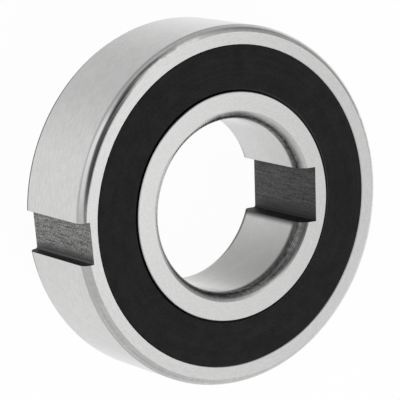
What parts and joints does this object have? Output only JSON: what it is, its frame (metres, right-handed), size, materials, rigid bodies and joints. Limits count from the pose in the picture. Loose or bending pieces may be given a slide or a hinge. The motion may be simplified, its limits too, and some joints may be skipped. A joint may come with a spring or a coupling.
{
  "type": "sprag clutch",
  "caption": "Sealed one-way clutch bearing: inner ring runs free one way and locks the other, on balls and sprags, with a key slot in the bore and one in the outside.",
  "frame": {"origin": "centre of the bore, at the middle of the width", "axes": "+Z along the bore axis, out of the face that the picture shows; -X through the middle of the outer slot"},
  "size_m": [0.0518, 0.052, 0.015],
  "materials": {
    "outer_ring_steel": "ground and polished, slot floor milled rough",
    "inner_ring_steel": "ground, slot floor broached rough",
    "seal_rubber": "moulded, satin",
    "insert_steel": "pressed sheet, plain",
    "cage_polymer": "moulded, natural",
    "cage_steel": "pressed sheet, plain",
    "spring_steel": "hardened strip",
    "ball_steel": "polished",
    "sprag_steel": "tumbled and polished"
  },
  "bodies": {
    "outer_ring": {"outer_ring": "outer_ring_steel", "front_seal": "seal_rubber", "front_seal_insert": "insert_steel", "rear_seal": "seal_rubber", "rear_seal_insert": "insert_steel", "sprag_cage_outer": "cage_steel", "sprag_cage_inner": "cage_steel", "sprag_spring": "spring_steel"},
    "inner_ring": {"inner_ring": "inner_ring_steel"},
    "ball_cage": {"ball_cage": "cage_polymer"},
    "ball_01": {"ball_01": "ball_steel"},
    "ball_02": {"ball_02": "ball_steel"},
    "ball_03": {"ball_03": "ball_steel"},
    "ball_04": {"ball_04": "ball_steel"},
    "ball_05": {"ball_05": "ball_steel"},
    "ball_06": {"ball_06": "ball_steel"},
    "ball_07": {"ball_07": "ball_steel"},
    "ball_08": {"ball_08": "ball_steel"},
    "ball_09": {"ball_09": "ball_steel"},
    "ball_10": {"ball_10": "ball_steel"},
    "ball_11": {"ball_11": "ball_steel"},
    "ball_12": {"ball_12": "ball_steel"},
    "ball_13": {"ball_13": "ball_steel"},
    "ball_14": {"ball_14": "ball_steel"},
    "sprag_01": {"sprag_01": "sprag_steel"},
    "sprag_02": {"sprag_02": "sprag_steel"},
    "sprag_03": {"sprag_03": "sprag_steel"},
    "sprag_04": {"sprag_04": "sprag_steel"},
    "sprag_05": {"sprag_05": "sprag_steel"},
    "sprag_06": {"sprag_06": "sprag_steel"},
    "sprag_07": {"sprag_07": "sprag_steel"},
    "sprag_08": {"sprag_08": "sprag_steel"},
    "sprag_09": {"sprag_09": "sprag_steel"},
    "sprag_10": {"sprag_10": "sprag_steel"},
    "sprag_11": {"sprag_11": "sprag_steel"},
    "sprag_12": {"sprag_12": "sprag_steel"},
    "sprag_13": {"sprag_13": "sprag_steel"},
    "sprag_14": {"sprag_14": "sprag_steel"},
    "sprag_15": {"sprag_15": "sprag_steel"},
    "sprag_16": {"sprag_16": "sprag_steel"}
  },
  "joints": [
    {"name": "inner_ring_spin", "type": "hinge", "parent": "outer_ring", "child": "inner_ring", "pos_m": [0, 0, 0], "axis": [0, 0, 1], "range_deg": [0, 3690]},
    {"name": "ball_cage_orbit", "type": "hinge", "parent": "outer_ring", "child": "ball_cage", "pos_m": [0, 0, -0.00257], "axis": [0, 0, 1], "range_deg": [0, 1580]},
    {"name": "ball_01_roll", "type": "hinge", "parent": "ball_cage", "child": "ball_01", "pos_m": [0.0186, 0, -0.00257], "axis": [0, 0, 1], "range_deg": [-12210, 0]},
    {"name": "ball_02_roll", "type": "hinge", "parent": "ball_cage", "child": "ball_02", "pos_m": [0.01676, 0.00807, -0.00257], "axis": [0, 0, 1], "range_deg": [-12210, 0]},
    {"name": "ball_03_roll", "type": "hinge", "parent": "ball_cage", "child": "ball_03", "pos_m": [0.0116, 0.01454, -0.00257], "axis": [0, 0, 1], "range_deg": [-12210, 0]},
    {"name": "ball_04_roll", "type": "hinge", "parent": "ball_cage", "child": "ball_04", "pos_m": [0.00414, 0.01813, -0.00257], "axis": [0, 0, 1], "range_deg": [-12210, 0]},
    {"name": "ball_05_roll", "type": "hinge", "parent": "ball_cage", "child": "ball_05", "pos_m": [-0.00414, 0.01813, -0.00257], "axis": [0, 0, 1], "range_deg": [-12210, 0]},
    {"name": "ball_06_roll", "type": "hinge", "parent": "ball_cage", "child": "ball_06", "pos_m": [-0.0116, 0.01454, -0.00257], "axis": [0, 0, 1], "range_deg": [-12210, 0]},
    {"name": "ball_07_roll", "type": "hinge", "parent": "ball_cage", "child": "ball_07", "pos_m": [-0.01676, 0.00807, -0.00257], "axis": [0, 0, 1], "range_deg": [-12210, 0]},
    {"name": "ball_08_roll", "type": "hinge", "parent": "ball_cage", "child": "ball_08", "pos_m": [-0.0186, 0, -0.00257], "axis": [0, 0, 1], "range_deg": [-12210, 0]},
    {"name": "ball_09_roll", "type": "hinge", "parent": "ball_cage", "child": "ball_09", "pos_m": [-0.01676, -0.00807, -0.00257], "axis": [0, 0, 1], "range_deg": [-12210, 0]},
    {"name": "ball_10_roll", "type": "hinge", "parent": "ball_cage", "child": "ball_10", "pos_m": [-0.0116, -0.01454, -0.00257], "axis": [0, 0, 1], "range_deg": [-12210, 0]},
    {"name": "ball_11_roll", "type": "hinge", "parent": "ball_cage", "child": "ball_11", "pos_m": [-0.00414, -0.01813, -0.00257], "axis": [0, 0, 1], "range_deg": [-12210, 0]},
    {"name": "ball_12_roll", "type": "hinge", "parent": "ball_cage", "child": "ball_12", "pos_m": [0.00414, -0.01813, -0.00257], "axis": [0, 0, 1], "range_deg": [-12210, 0]},
    {"name": "ball_13_roll", "type": "hinge", "parent": "ball_cage", "child": "ball_13", "pos_m": [0.0116, -0.01454, -0.00257], "axis": [0, 0, 1], "range_deg": [-12210, 0]},
    {"name": "ball_14_roll", "type": "hinge", "parent": "ball_cage", "child": "ball_14", "pos_m": [0.01676, -0.00807, -0.00257], "axis": [0, 0, 1], "range_deg": [-12210, 0]},
    {"name": "sprag_01_rock", "type": "hinge", "parent": "outer_ring", "child": "sprag_01", "pos_m": [0.0186, 0, 0.00327], "axis": [0, 0, -1], "range_deg": [0, 8], "stiffness_Nm_per_rad": 0.002, "springref_deg": -17.19},
    {"name": "sprag_02_rock", "type": "hinge", "parent": "outer_ring", "child": "sprag_02", "pos_m": [0.01718, 0.00712, 0.00327], "axis": [0, 0, -1], "range_deg": [0, 8], "stiffness_Nm_per_rad": 0.002, "springref_deg": -17.19},
    {"name": "sprag_03_rock", "type": "hinge", "parent": "outer_ring", "child": "sprag_03", "pos_m": [0.01315, 0.01315, 0.00327], "axis": [0, 0, -1], "range_deg": [0, 8], "stiffness_Nm_per_rad": 0.002, "springref_deg": -17.19},
    {"name": "sprag_04_rock", "type": "hinge", "parent": "outer_ring", "child": "sprag_04", "pos_m": [0.00712, 0.01718, 0.00327], "axis": [0, 0, -1], "range_deg": [0, 8], "stiffness_Nm_per_rad": 0.002, "springref_deg": -17.19},
    {"name": "sprag_05_rock", "type": "hinge", "parent": "outer_ring", "child": "sprag_05", "pos_m": [0, 0.0186, 0.00327], "axis": [0, 0, -1], "range_deg": [0, 8], "stiffness_Nm_per_rad": 0.002, "springref_deg": -17.19},
    {"name": "sprag_06_rock", "type": "hinge", "parent": "outer_ring", "child": "sprag_06", "pos_m": [-0.00712, 0.01718, 0.00327], "axis": [0, 0, -1], "range_deg": [0, 8], "stiffness_Nm_per_rad": 0.002, "springref_deg": -17.19},
    {"name": "sprag_07_rock", "type": "hinge", "parent": "outer_ring", "child": "sprag_07", "pos_m": [-0.01315, 0.01315, 0.00327], "axis": [0, 0, -1], "range_deg": [0, 8], "stiffness_Nm_per_rad": 0.002, "springref_deg": -17.19},
    {"name": "sprag_08_rock", "type": "hinge", "parent": "outer_ring", "child": "sprag_08", "pos_m": [-0.01718, 0.00712, 0.00327], "axis": [0, 0, -1], "range_deg": [0, 8], "stiffness_Nm_per_rad": 0.002, "springref_deg": -17.19},
    {"name": "sprag_09_rock", "type": "hinge", "parent": "outer_ring", "child": "sprag_09", "pos_m": [-0.0186, 0, 0.00327], "axis": [0, 0, -1], "range_deg": [0, 8], "stiffness_Nm_per_rad": 0.002, "springref_deg": -17.19},
    {"name": "sprag_10_rock", "type": "hinge", "parent": "outer_ring", "child": "sprag_10", "pos_m": [-0.01718, -0.00712, 0.00327], "axis": [0, 0, -1], "range_deg": [0, 8], "stiffness_Nm_per_rad": 0.002, "springref_deg": -17.19},
    {"name": "sprag_11_rock", "type": "hinge", "parent": "outer_ring", "child": "sprag_11", "pos_m": [-0.01315, -0.01315, 0.00327], "axis": [0, 0, -1], "range_deg": [0, 8], "stiffness_Nm_per_rad": 0.002, "springref_deg": -17.19},
    {"name": "sprag_12_rock", "type": "hinge", "parent": "outer_ring", "child": "sprag_12", "pos_m": [-0.00712, -0.01718, 0.00327], "axis": [0, 0, -1], "range_deg": [0, 8], "stiffness_Nm_per_rad": 0.002, "springref_deg": -17.19},
    {"name": "sprag_13_rock", "type": "hinge", "parent": "outer_ring", "child": "sprag_13", "pos_m": [0, -0.0186, 0.00327], "axis": [0, 0, -1], "range_deg": [0, 8], "stiffness_Nm_per_rad": 0.002, "springref_deg": -17.19},
    {"name": "sprag_14_rock", "type": "hinge", "parent": "outer_ring", "child": "sprag_14", "pos_m": [0.00712, -0.01718, 0.00327], "axis": [0, 0, -1], "range_deg": [0, 8], "stiffness_Nm_per_rad": 0.002, "springref_deg": -17.19},
    {"name": "sprag_15_rock", "type": "hinge", "parent": "outer_ring", "child": "sprag_15", "pos_m": [0.01315, -0.01315, 0.00327], "axis": [0, 0, -1], "range_deg": [0, 8], "stiffness_Nm_per_rad": 0.002, "springref_deg": -17.19},
    {"name": "sprag_16_rock", "type": "hinge", "parent": "outer_ring", "child": "sprag_16", "pos_m": [0.01718, -0.00712, 0.00327], "axis": [0, 0, -1], "range_deg": [0, 8], "stiffness_Nm_per_rad": 0.002, "springref_deg": -17.19}
  ],
  "couplings": [
    {"joint": "ball_cage_orbit", "follows": "inner_ring_spin", "ratio": 0.42607},
    {"joint": "ball_01_roll", "follows": "inner_ring_spin", "ratio": -3.3079},
    {"joint": "ball_02_roll", "follows": "inner_ring_spin", "ratio": -3.3079},
    {"joint": "ball_03_roll", "follows": "inner_ring_spin", "ratio": -3.3079},
    {"joint": "ball_04_roll", "follows": "inner_ring_spin", "ratio": -3.3079},
    {"joint": "ball_05_roll", "follows": "inner_ring_spin", "ratio": -3.3079},
    {"joint": "ball_06_roll", "follows": "inner_ring_spin", "ratio": -3.3079},
    {"joint": "ball_07_roll", "follows": "inner_ring_spin", "ratio": -3.3079},
    {"joint": "ball_08_roll", "follows": "inner_ring_spin", "ratio": -3.3079},
    {"joint": "ball_09_roll", "follows": "inner_ring_spin", "ratio": -3.3079},
    {"joint": "ball_10_roll", "follows": "inner_ring_spin", "ratio": -3.3079},
    {"joint": "ball_11_roll", "follows": "inner_ring_spin", "ratio": -3.3079},
    {"joint": "ball_12_roll", "follows": "inner_ring_spin", "ratio": -3.3079},
    {"joint": "ball_13_roll", "follows": "inner_ring_spin", "ratio": -3.3079},
    {"joint": "ball_14_roll", "follows": "inner_ring_spin", "ratio": -3.3079},
    {"joint": "sprag_02_rock", "follows": "sprag_01_rock", "ratio": 1},
    {"joint": "sprag_03_rock", "follows": "sprag_01_rock", "ratio": 1},
    {"joint": "sprag_04_rock", "follows": "sprag_01_rock", "ratio": 1},
    {"joint": "sprag_05_rock", "follows": "sprag_01_rock", "ratio": 1},
    {"joint": "sprag_06_rock", "follows": "sprag_01_rock", "ratio": 1},
    {"joint": "sprag_07_rock", "follows": "sprag_01_rock", "ratio": 1},
    {"joint": "sprag_08_rock", "follows": "sprag_01_rock", "ratio": 1},
    {"joint": "sprag_09_rock", "follows": "sprag_01_rock", "ratio": 1},
    {"joint": "sprag_10_rock", "follows": "sprag_01_rock", "ratio": 1},
    {"joint": "sprag_11_rock", "follows": "sprag_01_rock", "ratio": 1},
    {"joint": "sprag_12_rock", "follows": "sprag_01_rock", "ratio": 1},
    {"joint": "sprag_13_rock", "follows": "sprag_01_rock", "ratio": 1},
    {"joint": "sprag_14_rock", "follows": "sprag_01_rock", "ratio": 1},
    {"joint": "sprag_15_rock", "follows": "sprag_01_rock", "ratio": 1},
    {"joint": "sprag_16_rock", "follows": "sprag_01_rock", "ratio": 1}
  ]
}
